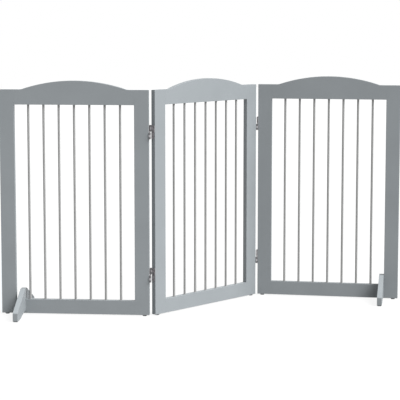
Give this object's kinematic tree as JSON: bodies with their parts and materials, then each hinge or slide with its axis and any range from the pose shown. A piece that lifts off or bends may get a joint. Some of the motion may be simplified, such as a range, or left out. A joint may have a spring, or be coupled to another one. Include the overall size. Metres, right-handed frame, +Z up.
{
  "type": "pet gate",
  "caption": "Free-standing folding pet gate: painted board panels with arched tops and upright wire rods, double-action hinges and lift-off support feet.",
  "frame": {"origin": "middle of the footprint at floor level, as the gate stands in its Z fold", "axes": "+Z up; +X along the left panel from its outer end to its hinges; -Y towards the front, where the viewer stands"},
  "size_m": [1.3634, 0.649, 0.7995],
  "materials": {
    "painted_board": "satin grey paint over medium-density board",
    "coated_wire": "satin grey powder coat",
    "dowel_wood": "bare beech",
    "glide_plastic": "moulded grey plastic",
    "zinc_steel": "zinc plate",
    "pad_rubber": "matt rubber",
    "nickel_plate": "satin nickel plate",
    "dark_nickel": "dark nickel plate",
    "nickel_steel": "satin nickel plate"
  },
  "bodies": {
    "middle_panel": {"middle_left_stile": "painted_board", "middle_right_stile": "painted_board", "middle_top_rail": "painted_board", "middle_bottom_rail": "painted_board", "middle_rods": "coated_wire", "middle_dowels": "dowel_wood", "middle_glides": "glide_plastic", "middle_glide_nails": "zinc_steel", "left_upper_back_leaf": "nickel_plate", "left_upper_back_screws": "nickel_steel", "left_lower_back_leaf": "nickel_plate", "left_lower_back_screws": "nickel_steel", "right_upper_front_leaf": "nickel_plate", "right_upper_front_screws": "nickel_steel", "right_lower_front_leaf": "nickel_plate", "right_lower_front_screws": "nickel_steel"},
    "left_hinge_link": {"left_upper_link": "dark_nickel", "left_upper_front_pin": "nickel_steel", "left_upper_back_pin": "nickel_steel", "left_lower_link": "dark_nickel", "left_lower_front_pin": "nickel_steel", "left_lower_back_pin": "nickel_steel"},
    "left_panel": {"left_outer_stile": "painted_board", "left_hinge_stile": "painted_board", "left_top_rail": "painted_board", "left_bottom_rail": "painted_board", "left_rods": "coated_wire", "left_dowels": "dowel_wood", "left_glides": "glide_plastic", "left_glide_nails": "zinc_steel", "left_upper_front_leaf": "nickel_plate", "left_upper_front_screws": "nickel_steel", "left_lower_front_leaf": "nickel_plate", "left_lower_front_screws": "nickel_steel"},
    "left_foot": {"left_foot": "painted_board", "left_foot_pads": "pad_rubber"},
    "right_hinge_link": {"right_upper_link": "dark_nickel", "right_upper_front_pin": "nickel_steel", "right_upper_back_pin": "nickel_steel", "right_lower_link": "dark_nickel", "right_lower_front_pin": "nickel_steel", "right_lower_back_pin": "nickel_steel"},
    "right_panel": {"right_hinge_stile": "painted_board", "right_outer_stile": "painted_board", "right_top_rail": "painted_board", "right_bottom_rail": "painted_board", "right_rods": "coated_wire", "right_dowels": "dowel_wood", "right_glides": "glide_plastic", "right_glide_nails": "zinc_steel", "right_upper_back_leaf": "nickel_plate", "right_upper_back_screws": "nickel_steel", "right_lower_back_leaf": "nickel_plate", "right_lower_back_screws": "nickel_steel"},
    "right_foot": {"right_foot": "painted_board", "right_foot_pads": "pad_rubber"}
  },
  "joints": [
    {"name": "left_back_pins", "type": "hinge", "parent": "middle_panel", "child": "left_hinge_link", "pos_m": [-0.16989, -0.17424, 0.4], "axis": [0, 0, -1], "range_deg": [-50.8, 109.2]},
    {"name": "left_front_pins", "type": "hinge", "parent": "left_hinge_link", "child": "left_panel", "pos_m": [-0.16989, -0.19274, 0.4], "axis": [0, 0, 1], "range_deg": [0, 160]},
    {"name": "left_foot_lift", "type": "slide", "parent": "left_panel", "child": "left_foot", "axis": [0, 0, 1], "range_m": [0, 0.06]},
    {"name": "right_front_pins", "type": "hinge", "parent": "middle_panel", "child": "right_hinge_link", "pos_m": [0.17032, 0.21363, 0.4], "axis": [0, 0, -1], "range_deg": [-55.8, 104.2]},
    {"name": "right_back_pins", "type": "hinge", "parent": "right_hinge_link", "child": "right_panel", "pos_m": [0.17193, 0.23206, 0.4], "axis": [0, 0, 1], "range_deg": [0, 160]},
    {"name": "right_foot_lift", "type": "slide", "parent": "right_panel", "child": "right_foot", "axis": [0, 0, 1], "range_m": [0, 0.06]}
  ]
}
